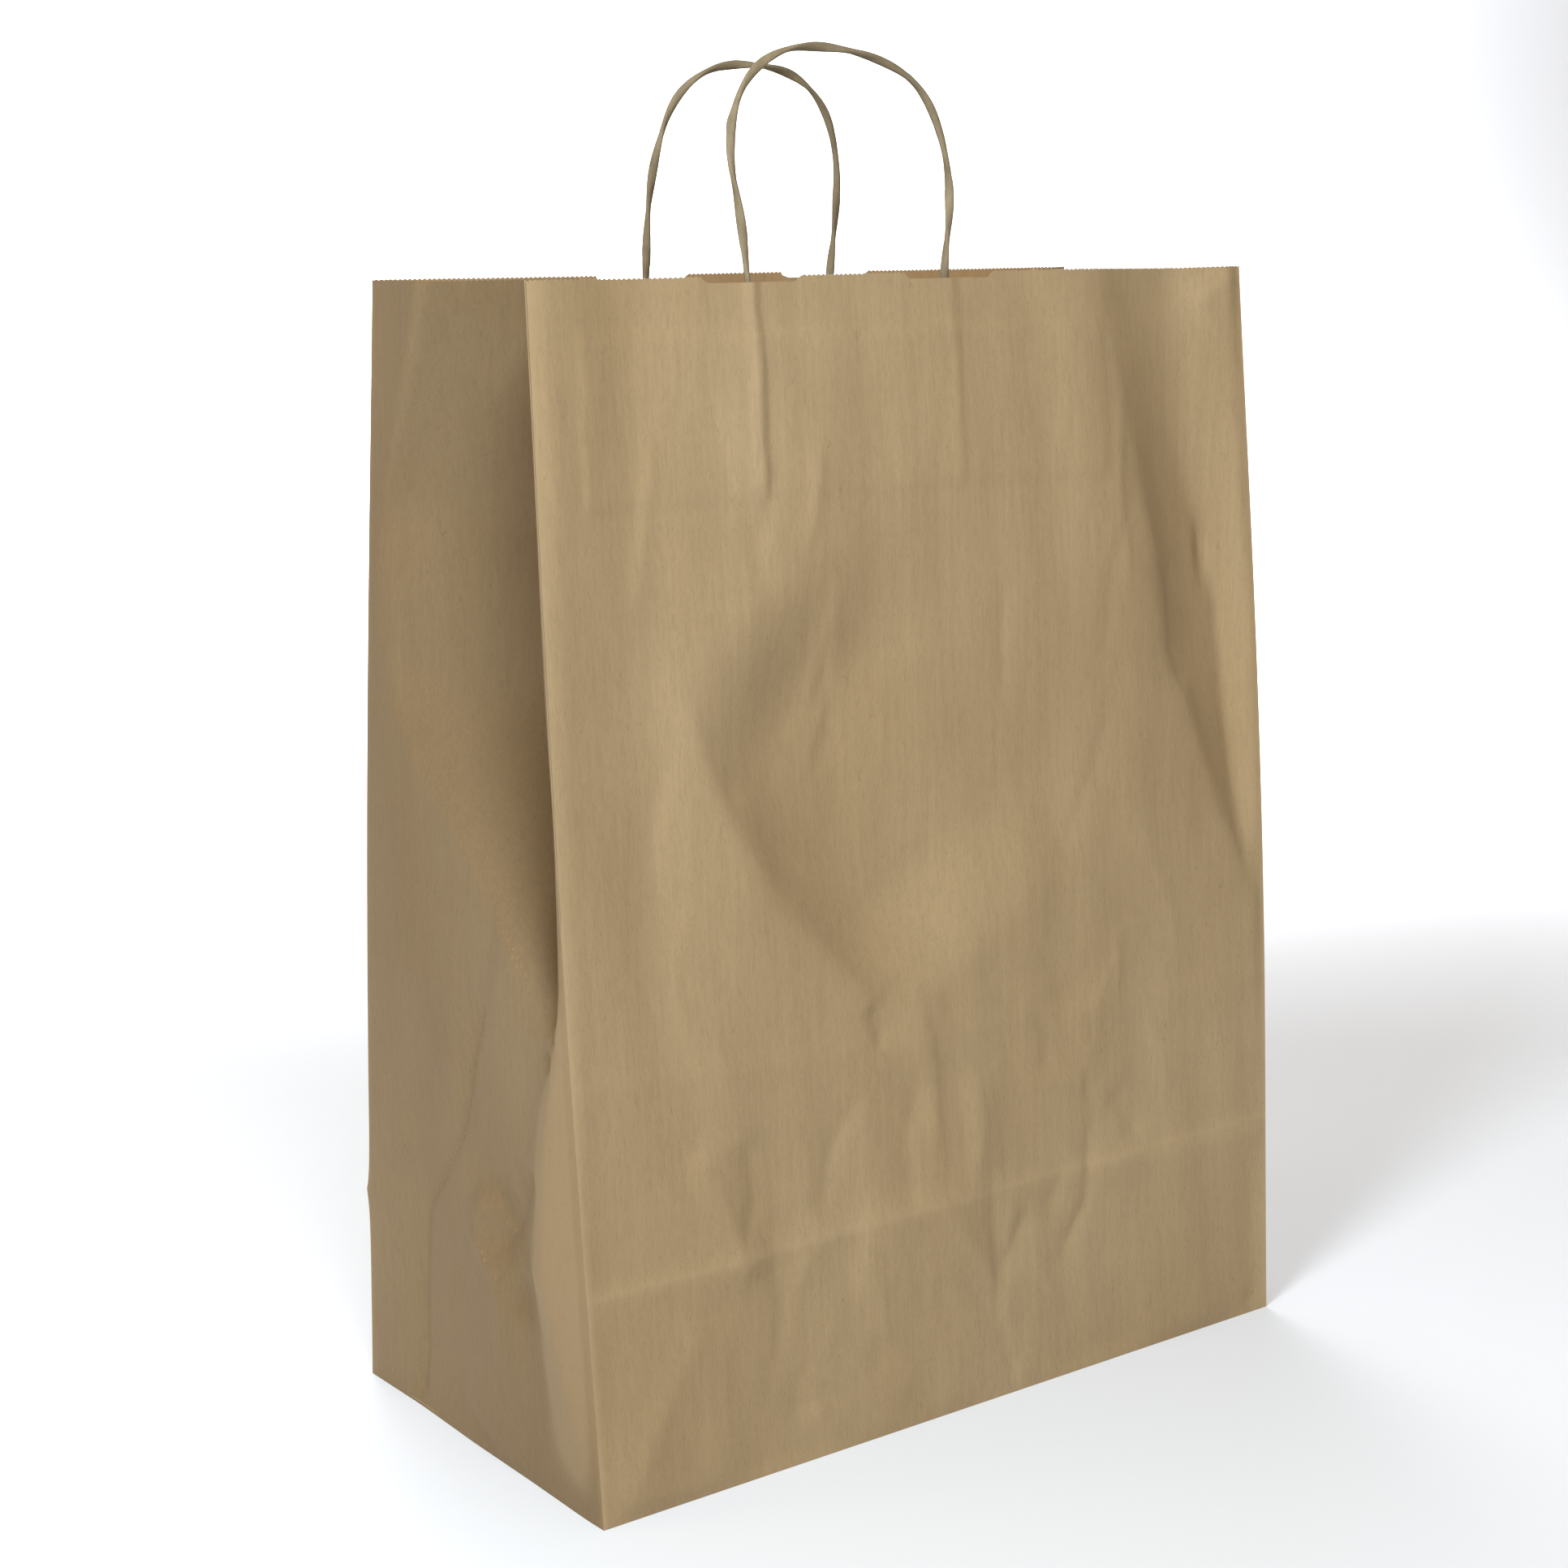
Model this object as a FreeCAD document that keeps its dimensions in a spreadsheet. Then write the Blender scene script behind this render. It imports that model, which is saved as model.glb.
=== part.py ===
import FreeCAD, Part
import Sketcher
import math
import os

from FreeCAD import Placement, Rotation, Vector

# A block-bottomed paper carrier bag with two twisted-paper cord handles.
# X runs along the width, Y along the depth with the front wall at -Y, and +Z is up.
# The origin is the middle of the rectangle that the bag stands on.
# The bag is one folded sheet, divided here at its creases, with a stack of two strips glued
# inside each wall and the ends of a cord handle held between those strips.

DIMENSIONS = [
    ("bag_width", 330),  # along the front wall
    ("bag_depth", 170),  # front wall to back wall where the bag stands
    ("wall_height", 430),  # from the bottom crease to the mouth, along the wall
    ("paper_thickness", 0.3),
    ("edge_gap", 0.3),  # between sheets that meet at a crease
    ("front_lean", 3.9),  # degrees from upright, inward
    ("back_lean", 4.8),
    ("notch_depth", 2.4),  # smooth cuts in the mouth where the cords pass
    ("notch_width", 38),
    ("notch_slope", 2.5),
    ("handle_spacing", 88),  # between the two legs of one handle
    ("front_handle_offset", -29.8),  # middle of the handle from the middle of the wall
    ("back_handle_offset", -5.3),
    ("cord_diameter", 3.4),
    ("patch_width", 233),
    ("patch_height", 57),
    ("patch_drop", 19),  # from the mouth down to the strips
    ("ridge_foot", 4.2),  # half the width of the cover strip's ridge over a cord
    ("ridge_crown", 1.3),  # half the width of its flat top
    ("ridge_rise", 3.6),
    ("flap_overlap", 14),  # of the two glued bottom flaps past the middle line
    ("tuck_reach", 85),  # of the tucked ends in from the sides
    ("seam_width", 20),
]

# Where each gusset's middle crease has been pushed in: height as a share of the wall's,
# and how far in, as a share of what the width of the paper allows there.
GUSSET_SECTIONS = [(0.0, 0.0), (0.2, 0.15), (0.45, 0.9), (0.7, 1.0), (1.0, 1.0)]

# Route of each handle's cord above the mouth, from leg to leg: millimetres along the wall
# from its middle and up from the mouth. The points are the corners that the cord rounds.
FRONT_ROUTE = [
    (-73.8, 0), (-75.4, 21), (-79.4, 43), (-73.5, 64), (-57, 77), (-35, 79),
    (-12, 75.5), (7, 67), (17, 48), (19.6, 25), (14.2, 0),
]
BACK_ROUTE = [
    (-49.3, 0), (-49.6, 22), (-46.8, 45), (-39, 66), (-24, 77), (-4, 79.5),
    (18, 76), (33, 64), (40, 45), (40.8, 23), (38.7, 0),
]

doc = FreeCAD.newDocument("paper_carrier_bag")
sheet = doc.addObject("Spreadsheet::Sheet", "size")
for row, (alias, value) in enumerate(DIMENSIONS, start=1):
    sheet.set(f"A{row}", str(value))
    sheet.setAlias(f"A{row}", alias)
doc.recompute()

nodes = []


def size(alias):
    """The number in one of the sheet's cells."""
    return float(getattr(sheet, alias))


def solve(formula):
    """The value of a formula of the sheet's cells."""
    value = sheet.evalExpression(formula)
    return float(getattr(value, "Value", value))


def add_body(label):
    """A new sub-part, whose label names its file."""
    body = doc.addObject("PartDesign::Body", label)
    body.Label = label
    nodes.append(body)
    return body


def add_sketch(body, name, role, height=None):
    """A sketch on one of the body's own origin planes, raised by a formula if one is given."""
    sketch = body.newObject("Sketcher::SketchObject", name)
    plane = next(f for f in body.Origin.OriginFeatures if f.Role == role)
    sketch.AttachmentSupport = [(plane, "")]
    sketch.MapMode = "FlatFace"
    if height:
        sketch.setExpression("AttachmentOffset.Base.z", height)
    return sketch


def draw_outline(sketch, corners):
    """A closed outline. Each corner is two formulas of the sheet's cells, bound to it."""
    points = [Vector(solve(x), solve(y), 0) for x, y in corners]
    for index, point in enumerate(points):
        sketch.addGeometry(Part.LineSegment(point, points[(index + 1) % len(points)]))
    for index, (x, y) in enumerate(corners):
        joined = (index - 1) % len(corners)
        sketch.addConstraint(Sketcher.Constraint("Coincident", joined, 2, index, 1))
        for kind, value, formula in (("DistanceX", points[index].x, x), ("DistanceY", points[index].y, y)):
            added = sketch.addConstraint(Sketcher.Constraint(kind, -1, 1, index, 1, value))
            sketch.setExpression(f"Constraints[{added}]", formula)


def add_pad(body, sketch, length, reverse=False):
    """The sketch's outline padded by a formula's length."""
    pad = body.newObject("PartDesign::Pad", body.Label + "_pad")
    pad.Profile = sketch
    pad.setExpression("Length", length)
    pad.Reversed = reverse
    body.Tip = pad
    return pad


def wall_place(wall, inward=0.0, up=0.0, along=0.0):
    """A place on a wall: its own x along it, y inward and z up its slope from the bottom crease."""
    turn, lean = {"front": (0, "front_lean"), "back": (180, "back_lean")}[wall]
    foot = Placement(Vector(0, size("bag_depth") / 2, 0), Rotation())
    if wall == "front":
        foot = Placement(Vector(0, -size("bag_depth") / 2, 0), Rotation())
    tilt = Rotation(Vector(0, 0, 1), turn) * Rotation(Vector(1, 0, 0), -size(lean))
    return foot * Placement(Vector(), tilt) * Placement(Vector(along, inward, up), Rotation())


def wall_side(wall):
    """The sign that turns a distance along the row's X into one along the wall's own x."""
    return "" if wall == "front" else "-"


def build_panel(wall):
    """A wall: a flat sheet with a smooth notch in its mouth over each leg of its handle."""
    body = add_body(f"{wall}_panel")
    sketch = add_sketch(body, f"{wall}_panel_outline", "XZ_Plane")
    mouth = "size.wall_height"
    sunk = "size.wall_height - size.notch_depth"
    corners = [
        ("-size.bag_width / 2", "size.edge_gap"),
        ("size.bag_width / 2", "size.edge_gap"),
        ("size.bag_width / 2", mouth),
    ]
    # The walls' own x points opposite ways, so the back wall's legs are mirrored.
    offset = f"{wall_side(wall)}size.{wall}_handle_offset"
    for leg in ("+ size.handle_spacing / 2", "- size.handle_spacing / 2"):
        for edge, slope, level in (
            ("+ size.notch_width / 2", "+ size.notch_slope", mouth),
            ("+ size.notch_width / 2", "", sunk),
            ("- size.notch_width / 2", "", sunk),
            ("- size.notch_width / 2", "- size.notch_slope", mouth),
        ):
            corners.append((f"{offset} {leg} {edge} {slope}", level))
    corners.append(("-size.bag_width / 2", mouth))
    draw_outline(sketch, corners)
    add_pad(body, sketch, "size.paper_thickness", reverse=True)
    body.Placement = wall_place(wall)


def build_patch_backing(wall):
    """The strip glued to the inside of a wall, behind the ends of the handle's cord."""
    body = add_body(f"{wall}_patch_backing")
    sketch = add_sketch(body, f"{wall}_patch_backing_outline", "XZ_Plane")
    low = "-size.patch_height"
    left, right = "-size.patch_width / 2", "size.patch_width / 2"
    draw_outline(sketch, [(left, low), (right, low), (right, "0 * size.patch_height"), (left, "0 * size.patch_height")])
    add_pad(body, sketch, "size.paper_thickness", reverse=True)
    body.Placement = patch_place(wall, size("paper_thickness"))


def patch_place(wall, inward):
    """The middle of the patch's top edge, that far in from the wall's outer face."""
    along = size(f"{wall}_handle_offset") * (1 if wall == "front" else -1)
    return wall_place(wall, inward, size("wall_height") - size("patch_drop"), along)


def build_patch_cover(wall):
    """The strip glued over the backing, with a ridge along each end of the cord."""
    body = add_body(f"{wall}_patch_cover")
    sketch = add_sketch(body, f"{wall}_patch_cover_profile", "XY_Plane")
    near, far = [], []
    for leg in ("- size.handle_spacing / 2", "+ size.handle_spacing / 2"):
        for reach, rise, widen in (
            ("- size.ridge_foot", "0 * size.ridge_rise", "- size.paper_thickness"),
            ("- size.ridge_crown", "size.ridge_rise", "- size.paper_thickness / 2"),
            ("+ size.ridge_crown", "size.ridge_rise", "+ size.paper_thickness / 2"),
            ("+ size.ridge_foot", "0 * size.ridge_rise", "+ size.paper_thickness"),
        ):
            near.append((f"0 {leg} {reach}", rise))
            far.append((f"0 {leg} {reach} {widen}", f"{rise} + size.paper_thickness"))
    left, right = "-size.patch_width / 2", "size.patch_width / 2"
    near = [(left, "0 * size.ridge_rise")] + near + [(right, "0 * size.ridge_rise")]
    far = [(left, "size.paper_thickness")] + far + [(right, "size.paper_thickness")]
    draw_outline(sketch, near + far[::-1])
    add_pad(body, sketch, "size.patch_height", reverse=True)
    body.Placement = patch_place(wall, 2 * size("paper_thickness"))


def cord_depth():
    """From a wall's outer face in to the middle of its handle's cord."""
    return 2 * size("paper_thickness") + size("cord_diameter") / 2


def build_cord_end(wall, side):
    """One end of a handle's cord, from the foot of the patch up to just under the mouth."""
    radius = size("cord_diameter") / 2
    end = doc.addObject("Part::Cylinder", f"{wall}_cord_end_{side}")
    end.Label = end.Name
    end.setExpression("Radius", "size.cord_diameter / 2")
    end.setExpression(
        "Height",
        "size.patch_drop + size.patch_height - 1 - size.cord_diameter / 2 - size.edge_gap",
    )
    leg = size("handle_spacing") / 2 * (-1 if side == "left" else 1)
    along = (size(f"{wall}_handle_offset") + leg) * (1 if wall == "front" else -1)
    top = size("wall_height") - radius - size("edge_gap")
    length = size("patch_drop") + size("patch_height") - 1 - radius - size("edge_gap")
    end.Placement = wall_place(wall, cord_depth(), top - length, along)
    nodes.append(end)


def rounded_route(points):
    """The route's straight runs joined by arcs tangent to both, as large as the runs allow."""
    corners = [Vector(x, y, 0) for x, y in points]
    edges = []
    radii = []
    start = corners[0]
    for before, corner, after in zip(corners, corners[1:], corners[2:]):
        back, ahead = before - corner, after - corner
        reach = 0.45 * min(back.Length, ahead.Length)
        half_turn = (math.pi - back.getAngle(ahead)) / 2
        radius = reach / math.tan(half_turn)
        radii.append(radius)
        back.normalize()
        ahead.normalize()
        inward = back + ahead
        inward.normalize()
        middle = corner + inward * (radius / math.cos(half_turn) - radius)
        edges.append(Part.LineSegment(start, corner + back * reach))
        edges.append(Part.Arc(corner + back * reach, middle, corner + ahead * reach))
        start = corner + ahead * reach
    edges.append(Part.LineSegment(start, corners[-1]))
    return edges, radii


def build_handle_loop(wall, route):
    """The free loop of a handle: a cord swept along its route in the plane of the wall."""
    body = add_body(f"{wall}_handle_loop")
    sign = 1 if wall == "front" else -1
    edges, radii = rounded_route([(sign * x, y) for x, y in route])
    path = add_sketch(body, f"{wall}_handle_route", "XZ_Plane")
    path.addGeometry(edges)
    profile = add_sketch(body, f"{wall}_cord_section", "XY_Plane")
    start = Vector(sign * route[0][0], 0, 0)
    circle = profile.addGeometry(Part.Circle(start, Vector(0, 0, 1), size("cord_diameter") / 2))
    bound = profile.addConstraint(Sketcher.Constraint("Diameter", circle, size("cord_diameter")))
    profile.setExpression(f"Constraints[{bound}]", "size.cord_diameter")
    pipe = body.newObject("PartDesign::AdditivePipe", f"{wall}_handle_sweep")
    pipe.Profile = profile
    pipe.Spine = (path, [])
    body.Tip = pipe
    body.Placement = wall_place(wall, cord_depth(), size("wall_height"))
    length = sum(edge.length() for edge in edges)
    return body, length, radii


def wall_plane(wall, height):
    """The formula for a wall's outer face at a height."""
    side = {"front": "-", "back": ""}[wall]
    lean = {"front": "+", "back": "-"}[wall]
    return f"{side}size.bag_depth / 2 {lean} ({height}) * tan(size.{wall}_lean)"


def build_gusset_half(side, half):
    """Half of a side gusset, from a wall's crease to the gusset's middle crease."""
    body = add_body(f"{side}_gusset_{half}")
    wall = {"front": "front", "rear": "back"}[half]
    outward = {"left": "-", "right": "+"}[side]
    inward = {"left": "+", "right": "-"}[side]
    from_wall = {"front": "+", "rear": "-"}[half]
    sections = []
    for share, pushed in GUSSET_SECTIONS:
        # The mouth is level with the lower of the two leaning walls.
        height = f"{share} * size.wall_height * cos(size.back_lean)"
        front, back = wall_plane("front", height), wall_plane("back", height)
        middle = f"({front} + {back}) / 2"
        opening = f"({back} - ({front})) / 2"
        depth = f"{pushed} * sqrt((size.bag_depth / 2) ^ 2 - ({opening}) ^ 2)"
        side_x = f"0 {outward} size.bag_width / 2"
        wall_y = f"{wall_plane(wall, height)} {from_wall} (size.paper_thickness + size.edge_gap)"
        middle_y = f"{middle} {'-' if half == 'front' else '+'} size.edge_gap / 2"
        sketch = add_sketch(body, f"{body.Label}_section_{len(sections)}", "XY_Plane", height)
        draw_outline(
            sketch,
            [
                (side_x, wall_y),
                (f"{side_x} {inward} ({depth})", middle_y),
                (f"{side_x} {inward} ({depth} + size.paper_thickness)", middle_y),
                (f"{side_x} {inward} size.paper_thickness", wall_y),
            ],
        )
        sections.append(sketch)
    loft = body.newObject("PartDesign::AdditiveLoft", body.Label + "_folded_sheet")
    loft.Profile = sections[0]
    loft.Sections = sections[1:]
    loft.Ruled = True
    body.Tip = loft


def build_bottom_flap(wall):
    """A long bottom flap with mitred ends, folded in from a wall and glued past the middle."""
    body = add_body(f"bottom_flap_{wall}")
    sketch = add_sketch(body, f"{body.Label}_outline", "XY_Plane")
    side = {"front": "-", "back": ""}[wall]
    across = {"front": "", "back": "-"}[wall]
    edge = f"{side}(size.bag_depth / 2 - size.paper_thickness - size.edge_gap)"
    free = f"{across}size.flap_overlap"
    long_half = "size.bag_width / 2 - size.paper_thickness - size.edge_gap"
    short_half = f"{long_half} - size.bag_depth / 2 - size.flap_overlap"
    draw_outline(
        sketch,
        [(f"-({long_half})", edge), (long_half, edge), (short_half, free), (f"-({short_half})", free)],
    )
    add_pad(body, sketch, "size.paper_thickness")
    layer = {"front": 0, "back": 1}[wall]
    body.Placement = Placement(Vector(0, 0, layer * size("paper_thickness")), Rotation())


def build_bottom_tuck(side):
    """The end of the bottom that is tucked in from a gusset, on top of the two flaps."""
    body = add_body(f"bottom_tuck_{side}")
    sketch = add_sketch(body, f"{body.Label}_outline", "XY_Plane")
    sign = {"left": "-", "right": ""}[side]
    outer = "size.bag_width / 2 - size.paper_thickness - size.edge_gap"
    wide = "size.bag_depth / 2 - size.paper_thickness - size.edge_gap"
    shoulder = f"{outer} - size.tuck_reach / 2"
    inner = f"{outer} - size.tuck_reach"
    narrow = f"{wide} - size.tuck_reach / 2"
    corners = [(outer, f"-({wide})"), (outer, wide), (shoulder, wide)]
    corners += [(inner, narrow), (inner, f"-({narrow})"), (shoulder, f"-({wide})")]
    draw_outline(sketch, [(f"{sign}({x})", y) for x, y in corners])
    add_pad(body, sketch, "size.paper_thickness")
    body.Placement = Placement(Vector(0, 0, 2 * size("paper_thickness")), Rotation())


def build_seam_flap():
    """The flap that closes the sheet into a tube, glued inside the back wall at its right edge."""
    body = add_body("side_seam_flap")
    sketch = add_sketch(body, "side_seam_flap_outline", "XZ_Plane")
    outer = "-size.bag_width / 2 + size.paper_thickness + 2 * size.edge_gap"
    inner = f"{outer} + size.seam_width"
    low = "4 * size.paper_thickness + size.edge_gap"
    draw_outline(
        sketch,
        [(outer, low), (inner, low), (inner, "size.wall_height - 1"), (outer, "size.wall_height - 1")],
    )
    add_pad(body, sketch, "size.paper_thickness", reverse=True)
    body.Placement = wall_place("back", size("paper_thickness"))


def check_objects():
    """Stops if anything failed to build, or a sub-part isn't a sound solid."""
    for item in doc.Objects:
        if "Invalid" in item.State or "Error" in item.State:
            raise RuntimeError(f"{item.Label} failed: {item.State}")
    for node in nodes:
        if node.Shape.isNull() or not node.Shape.isValid() or node.Shape.Volume <= 0:
            raise RuntimeError(f"{node.Label} is not a sound solid")


for flap in ("front", "back"):
    build_bottom_flap(flap)
for tuck in ("left", "right"):
    build_bottom_tuck(tuck)
for gusset in ("left", "right"):
    for part_of_it in ("front", "rear"):
        build_gusset_half(gusset, part_of_it)
build_seam_flap()
loops = []
for wall_name, wall_route in (("front", FRONT_ROUTE), ("back", BACK_ROUTE)):
    build_panel(wall_name)
    build_patch_backing(wall_name)
    build_patch_cover(wall_name)
    for cord_side in ("left", "right"):
        build_cord_end(wall_name, cord_side)
    loops.append(build_handle_loop(wall_name, wall_route))

doc.recompute()
check_objects()

section_area = math.pi * size("cord_diameter") ** 2 / 4
for loop, loop_length, loop_radii in loops:
    ratio = loop.Shape.Volume / (section_area * loop_length)
    print(f"{loop.Label}: length {loop_length:.1f}, volume / (section x length) {ratio:.4f}")
    print("  bend radii:", " ".join(f"{radius:.0f}" for radius in loop_radii))

os.makedirs("parts", exist_ok=True)
for node in nodes:
    node.Shape.exportStep(f"parts/{node.Label}.step")
print(f"{len(nodes)} sub-parts written")
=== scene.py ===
import math

import bpy
import numpy as np
from mathutils import Euler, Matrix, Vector


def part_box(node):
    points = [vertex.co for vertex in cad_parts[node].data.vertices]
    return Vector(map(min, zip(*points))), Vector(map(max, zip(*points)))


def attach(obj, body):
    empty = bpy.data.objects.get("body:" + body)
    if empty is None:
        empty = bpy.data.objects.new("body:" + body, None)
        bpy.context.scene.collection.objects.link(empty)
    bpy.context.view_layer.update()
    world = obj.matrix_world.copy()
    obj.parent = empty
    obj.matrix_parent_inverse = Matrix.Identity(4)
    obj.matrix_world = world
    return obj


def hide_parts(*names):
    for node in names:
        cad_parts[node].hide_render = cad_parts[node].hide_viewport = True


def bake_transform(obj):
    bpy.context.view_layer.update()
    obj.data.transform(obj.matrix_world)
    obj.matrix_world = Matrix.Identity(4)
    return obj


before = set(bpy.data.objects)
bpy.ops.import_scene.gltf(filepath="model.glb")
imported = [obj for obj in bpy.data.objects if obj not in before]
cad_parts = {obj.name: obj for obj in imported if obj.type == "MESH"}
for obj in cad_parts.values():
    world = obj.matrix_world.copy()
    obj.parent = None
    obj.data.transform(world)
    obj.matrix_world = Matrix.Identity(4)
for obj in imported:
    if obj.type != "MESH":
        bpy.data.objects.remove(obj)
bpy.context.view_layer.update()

# A block-bottomed kraft paper bag. Lengths are millimetres until a mesh is made, apart from those of
# the camera, the lamps and the floor, which are metres.
MM = 0.001
PAPER = 0.3  # thickness of a sheet
TOOTH_DEPTH = 0.55  # of the serrated mouth
TOOTH_MIN_CELL = 1.2  # a mesh cell narrower than this gets no tooth
ROW_STEP = 2.6  # between the rows of an upright sheet

# ---------------------------------------------------------------- sizes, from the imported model

front_low, front_high = (np.array(corner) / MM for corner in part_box("front_panel"))
back_low, back_high = (np.array(corner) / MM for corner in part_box("back_panel"))
patch_low, patch_high = (np.array(corner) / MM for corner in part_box("front_patch_cover"))
HALF_WIDTH = front_high[0]
FOOT = {"front": front_low[1], "back": back_high[1]}  # y of each wall's bottom crease
MOUTH = {"front": front_high[1] - PAPER, "back": back_low[1] + PAPER}  # y of its mouth
TOP = {"front": front_high[2], "back": back_high[2]}  # height of its mouth
SLOPE = {wall: (MOUTH[wall] - FOOT[wall]) / TOP[wall] for wall in FOOT}
LEAN = {wall: math.atan(abs(SLOPE[wall])) for wall in FOOT}
OUTWARD = {"front": -1, "back": 1}


def middle(node):
    """The middle of a CAD node's box."""
    low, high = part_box(node)
    return (np.array(low) + np.array(high)) / 2 / MM


LEGS = {
    wall: [middle(f"{wall}_cord_end_{side}")[0] for side in ("left", "right")]
    for wall in FOOT
}

# ---------------------------------------------------------------- camera, light and floor

CAMERA_TARGET = (-0.0836, -0.085, 0.2554)
CAMERA_AZIMUTH = -36.38
CAMERA_ELEVATION = 11.37
CAMERA_DISTANCE = 0.942
CAMERA_ROLL = -0.6
CAMERA_LENS = 62.2
BAG_MIDDLE = (0, 0, 0.22)

def look_at(point, azimuth, elevation, distance):
    """A camera or lamp's place and turn, aimed at a point from that direction.

    Azimuth 0 is in front of the bag and -90 at its left side.
    """
    a, e = math.radians(azimuth), math.radians(elevation)
    back = Vector((math.sin(a) * math.cos(e), -math.cos(a) * math.cos(e), math.sin(e)))
    return Vector(point) + back * distance, (-back).to_track_quat("-Z", "Y")


def make_camera():
    """The camera, at the photographer's place."""
    camera = bpy.data.objects.new("camera", bpy.data.cameras.new("camera"))
    bpy.context.scene.collection.objects.link(camera)
    camera.data.sensor_width = 36
    camera.data.lens = CAMERA_LENS
    camera.data.clip_end = 20
    camera.rotation_mode = "QUATERNION"
    place, turn = look_at(CAMERA_TARGET, CAMERA_AZIMUTH, CAMERA_ELEVATION, CAMERA_DISTANCE)
    roll = Euler((0, 0, math.radians(CAMERA_ROLL))).to_quaternion()
    camera.location, camera.rotation_quaternion = place, turn @ roll
    bpy.context.scene.camera = camera


def add_lamp(name, target, azimuth, elevation, distance, size, power, colour):
    """A round soft lamp of so many watts, aimed at a target."""
    lamp = bpy.data.lights.new(name, "AREA")
    lamp.shape, lamp.size, lamp.energy, lamp.color = "DISK", size, power, colour
    holder = bpy.data.objects.new(name, lamp)
    bpy.context.scene.collection.objects.link(holder)
    holder.rotation_mode = "QUATERNION"
    holder.location, holder.rotation_quaternion = look_at(target, azimuth, elevation, distance)


def make_light():
    """A key, a lamp that rakes the front wall, three fills and an even surround."""
    add_lamp("key", BAG_MIDDLE, -25, 43, 1.8, 0.6, 16, (0.94, 0.98, 1.0))
    add_lamp("rake", BAG_MIDDLE, -66, 32, 1.8, 0.5, 30, (0.92, 0.98, 1.0))
    add_lamp("left_rear", (0, 0, 0.2), -112, 22, 1.8, 0.9, 3.2, (1.0, 0.87, 0.70))
    add_lamp("rear", BAG_MIDDLE, 165, 35, 1.9, 1.2, 13, (1.0, 0.98, 0.94))
    add_lamp("backdrop", (2.0, 2.3, 0.5), -36, 40, 1.7, 2.0, 110, (1, 1, 1))
    world = bpy.data.worlds.new("studio")
    bpy.context.scene.world = world
    world.use_nodes = True
    background = world.node_tree.nodes["Background"]
    background.inputs["Color"].default_value = (1.0, 0.83, 0.60, 1)
    background.inputs["Strength"].default_value = 0.42
    bpy.context.scene.view_settings.view_transform = "Standard"


def keep_dark(lamp, pieces):
    """Let a lamp pass over some pieces, as a card held in front of it would."""
    group = bpy.data.collections.new(f"{lamp}_passes_over")
    for piece in pieces:
        group.objects.link(piece)
    for entry in group.collection_objects:
        entry.light_linking.link_state = "EXCLUDE"
    bpy.data.objects[lamp].light_linking.receiver_collection = group


def make_floor():
    """A pale floor that curves up behind the bag."""
    front, back, height, radius = -3.0, 1.6, 1.6, 0.8
    half = 4.0
    bends = 12
    profile = [(front, 0.0)]
    for step in range(bends + 1):
        turn = math.pi / 2 * step / bends
        profile.append((back + radius * math.sin(turn), radius * (1 - math.cos(turn))))
    profile.append((back + radius, height + radius))
    points = [(side * half, y, z) for y, z in profile for side in (-1, 1)]
    faces = [(2 * i, 2 * i + 1, 2 * i + 3, 2 * i + 2) for i in range(len(profile) - 1)]
    mesh = bpy.data.meshes.new("floor")
    mesh.from_pydata(points, [], faces)
    mesh.shade_smooth()
    floor = bpy.data.objects.new("floor", mesh)
    bpy.context.scene.collection.objects.link(floor)
    material = bpy.data.materials.new("floor_white")
    material.use_nodes = True
    shader = material.node_tree.nodes["Principled BSDF"]
    shader.inputs["Base Color"].default_value = (0.68, 0.71, 0.77, 1)
    shader.inputs["Roughness"].default_value = 0.8
    mesh.materials.append(material)


# ---------------------------------------------------------------- materials


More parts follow.
